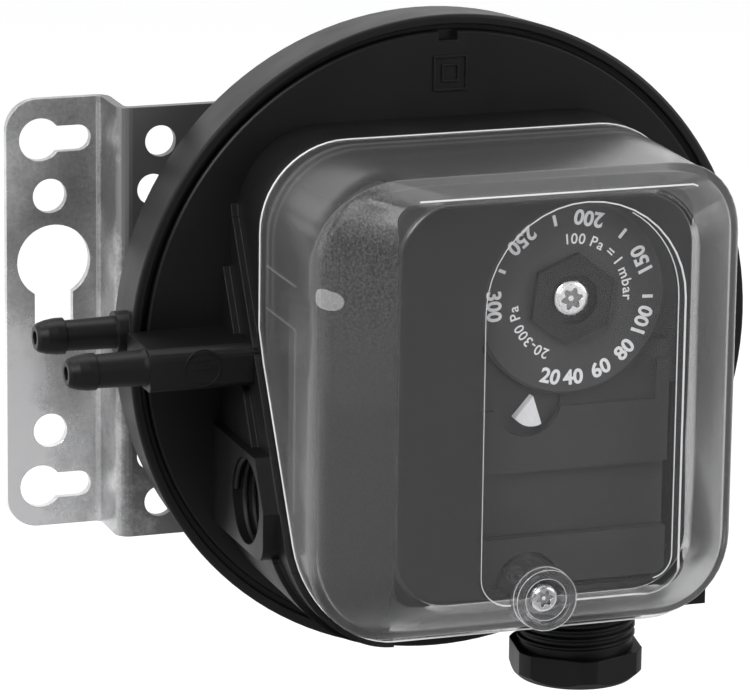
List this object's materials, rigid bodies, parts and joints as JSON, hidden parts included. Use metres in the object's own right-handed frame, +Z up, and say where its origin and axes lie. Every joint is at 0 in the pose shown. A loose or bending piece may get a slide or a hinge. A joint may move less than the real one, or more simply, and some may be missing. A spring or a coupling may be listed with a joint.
{
  "type": "differential pressure switch",
  "caption": "Wall-mounted air differential pressure switch: round diaphragm housing on a Z bracket, switch box with clear cover, setting dial, hose barbs, conduit thread and cable gland.",
  "frame": {"origin": "on the wall, midway between the two round holes in the bracket's wall flange", "axes": "+Y into the wall, +Z up, +X to the right as seen by someone facing the switch"},
  "size_m": [0.1285, 0.0869, 0.1131],
  "materials": {
    "zinc_sheet": "zinc-plated, mottled",
    "screw_steel": "bright zinc",
    "black_plastic": "fine moulded texture",
    "dark_plastic": "satin",
    "grey_plastic": "satin",
    "pale_plastic": "satin",
    "white_plastic": "satin",
    "switch_plastic": "satin",
    "clear_plastic": "clear, finely textured on one side",
    "light_alloy": "satin",
    "brass": "plain",
    "spring_steel": "bright wire",
    "rubber": "matt"
  },
  "bodies": {
    "base": {"mounting_bracket": "zinc_sheet", "bracket_screws": "screw_steel", "rear_housing": "black_plastic", "housing_screws": "screw_steel", "diaphragm": "rubber", "front_housing": "black_plastic", "box_top_wall": "black_plastic", "box_left_wall": "black_plastic", "box_right_wall": "black_plastic", "box_foot_wall": "black_plastic", "minus_port": "black_plastic", "cover_gasket": "rubber", "window_frame": "grey_plastic", "pointer": "white_plastic", "terminal_cover": "grey_plastic", "terminal_block": "pale_plastic", "terminal_screws": "screw_steel", "terminal_clamps": "brass", "switch_carrier": "grey_plastic", "measuring_spring": "spring_steel", "lever_pin": "screw_steel", "microswitch": "switch_plastic", "gland_body": "black_plastic", "gland_seal": "rubber"},
    "cover": {"clear_cover": "clear_plastic"},
    "cover_fastener": {"cover_screw": "screw_steel"},
    "setting_dial": {"dial": "dark_plastic", "dial_hub": "dark_plastic", "dial_screw": "screw_steel", "setting_spindle": "screw_steel"},
    "seat": {"spring_seat": "brass"},
    "sensing_plate": {"diaphragm_plate": "light_alloy"},
    "transfer_lever": {"lever": "zinc_sheet"},
    "button": {"switch_button": "white_plastic"},
    "compression_nut": {"gland_nut": "black_plastic"}
  },
  "joints": [
    {"name": "cover_lift", "type": "slide", "parent": "base", "child": "cover", "axis": [0, -1, 0], "range_m": [0, 0.08]},
    {"name": "cover_screw_turn", "type": "hinge", "parent": "cover", "child": "cover_fastener", "pos_m": [0.0612, -0.0847, -0.0324], "axis": [0, -1, 0], "continuous": true},
    {"name": "dial_turn", "type": "hinge", "parent": "base", "child": "setting_dial", "pos_m": [0.0675, -0.0782, 0.0169], "axis": [0, 1, 0], "range_deg": [0, 294]},
    {"name": "spring_seat_slide", "type": "slide", "parent": "base", "child": "seat", "axis": [0, 1, 0], "range_m": [0, 0.0061], "deforming": ["measuring_spring"]},
    {"name": "diaphragm_slide", "type": "slide", "parent": "base", "child": "sensing_plate", "axis": [0, -1, 0], "range_m": [0, 0.0006], "stiffness_N_per_m": 1500},
    {"name": "lever_tilt", "type": "hinge", "parent": "base", "child": "transfer_lever", "pos_m": [0.0862, -0.0433, 0.0064], "axis": [0, 0, 1], "range_deg": [0, 1.4]},
    {"name": "switch_button_slide", "type": "slide", "parent": "base", "child": "button", "axis": [0, -1, 0], "range_m": [0, 0.0012]},
    {"name": "gland_nut_turn", "type": "hinge", "parent": "base", "child": "compression_nut", "pos_m": [0.0792, -0.0547, -0.0539], "axis": [0, 0, -1], "continuous": true}
  ],
  "couplings": [
    {"joint": "spring_seat_slide", "follows": "dial_turn", "m_per_rad": 0.001165},
    {"joint": "lever_tilt", "follows": "diaphragm_slide", "rad_per_m": 40},
    {"joint": "switch_button_slide", "follows": "diaphragm_slide", "ratio": 1.96}
  ]
}
